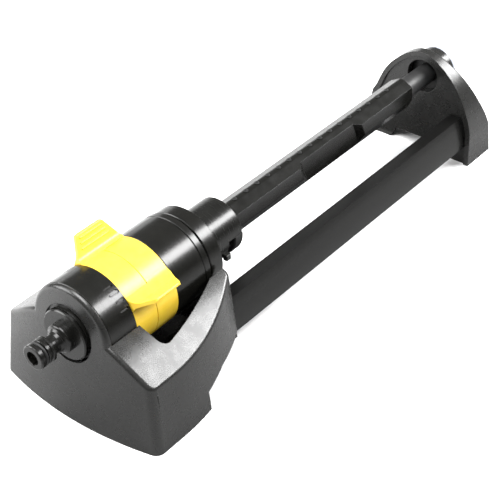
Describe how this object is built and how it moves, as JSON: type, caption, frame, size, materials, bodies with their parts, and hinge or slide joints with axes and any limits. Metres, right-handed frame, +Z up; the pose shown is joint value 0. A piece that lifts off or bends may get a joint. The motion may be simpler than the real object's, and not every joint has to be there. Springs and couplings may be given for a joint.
{
  "type": "oscillating sprinkler",
  "caption": "Oscillating lawn sprinkler: click-fit hose inlet, turbine motor, two limit rings, swinging spray tube, side rail and rear foot.",
  "frame": {"origin": "middle of the footprint on the ground", "axes": "+Y along the swing axis from the hose inlet to the rear foot, +X to the right seen from the inlet, +Z up"},
  "size_m": [0.1456, 0.4768, 0.1154],
  "materials": {
    "housing_plastic": "satin, finely textured",
    "drum_plastic": "gloss",
    "fitting_plastic": "gloss",
    "ring_plastic": "semi-gloss",
    "tube_plastic": "satin",
    "rail_plastic": "satin",
    "nozzle_rubber": "matte",
    "seal_rubber": "matte",
    "gear_plastic": "satin",
    "inner_plastic": "satin",
    "screw_steel": "zinc plated",
    "spring_steel": "bright",
    "cap_plastic": "semi-gloss"
  },
  "bodies": {
    "base": {"front_housing": "housing_plastic", "base_cover": "inner_plastic", "cover_screws": "screw_steel", "drum_front_cover": "drum_plastic", "cradle_screws": "screw_steel", "inlet_spigot": "fitting_plastic", "spigot_o_ring": "seal_rubber", "inlet_filter": "gear_plastic", "journal_seal": "seal_rubber", "fixed_gear": "gear_plastic", "side_rail": "rail_plastic", "rail_screws": "screw_steel", "rear_foot": "housing_plastic", "rear_foot_cover": "inner_plastic", "foot_screws": "screw_steel", "rear_bearing_bush": "inner_plastic", "rear_end_cap": "cap_plastic"},
    "front_limit": {"limit_ring_front": "ring_plastic"},
    "rear_limit": {"limit_ring_rear": "ring_plastic"},
    "swing": {"motor_housing": "drum_plastic", "seal_retainer": "gear_plastic", "motor_rear_cap": "drum_plastic", "front_gear_plate": "inner_plastic", "rear_gear_plate": "inner_plastic", "side_axle": "spring_steel", "jet_plate": "inner_plastic", "turbine_bearing_plate": "inner_plastic", "lever_stop": "inner_plastic", "reverse_spring": "spring_steel", "rear_collar": "drum_plastic", "tube_collar": "fitting_plastic", "collar_latch": "fitting_plastic", "collar_lock": "seal_rubber", "tube_o_ring": "seal_rubber", "spray_tube": "tube_plastic", "spray_nozzles": "nozzle_rubber", "tube_end_plug": "inner_plastic"},
    "gear_one": {"first_gear": "gear_plastic"},
    "gear_two": {"second_gear": "gear_plastic"},
    "gear_three": {"third_gear": "gear_plastic"},
    "turbine": {"turbine_pinion": "gear_plastic", "turbine_shaft": "spring_steel", "turbine_wheel": "gear_plastic"},
    "reverser": {"reverse_lever": "gear_plastic"}
  },
  "joints": [
    {"name": "tube_swing", "type": "hinge", "parent": "base", "child": "swing", "pos_m": [0, -0.1466, 0.0695], "axis": [0, 1, 0], "range_deg": [-45, 45]},
    {"name": "front_limit_turn", "type": "hinge", "parent": "base", "child": "front_limit", "pos_m": [0, -0.1666, 0.0695], "axis": [0, 1, 0], "range_deg": [-44, 6]},
    {"name": "rear_limit_turn", "type": "hinge", "parent": "base", "child": "rear_limit", "pos_m": [0, -0.1466, 0.0695], "axis": [0, 1, 0], "range_deg": [-40, 18]},
    {"name": "third_gear_spin", "type": "hinge", "parent": "swing", "child": "gear_three", "pos_m": [0, -0.1686, 0.084], "axis": [0, 1, 0], "range_deg": [-135, 135]},
    {"name": "second_gear_spin", "type": "hinge", "parent": "swing", "child": "gear_two", "pos_m": [0, -0.1646, 0.0695], "axis": [0, 1, 0], "range_deg": [-405, 405]},
    {"name": "first_gear_spin", "type": "hinge", "parent": "swing", "child": "gear_one", "pos_m": [0, -0.1586, 0.084], "axis": [0, 1, 0], "range_deg": [-1215, 1215]},
    {"name": "turbine_spin", "type": "hinge", "parent": "swing", "child": "turbine", "pos_m": [0, -0.1466, 0.0695], "axis": [0, 1, 0], "range_deg": [-3645, 3645]},
    {"name": "reverse_lever_rock", "type": "hinge", "parent": "swing", "child": "reverser", "pos_m": [0, -0.1496, 0.0605], "axis": [0, 1, 0], "range_deg": [-8, 8]}
  ],
  "couplings": [
    {"joint": "third_gear_spin", "follows": "tube_swing", "ratio": 3},
    {"joint": "second_gear_spin", "follows": "tube_swing", "ratio": -9},
    {"joint": "first_gear_spin", "follows": "tube_swing", "ratio": 27},
    {"joint": "turbine_spin", "follows": "tube_swing", "ratio": -81}
  ]
}
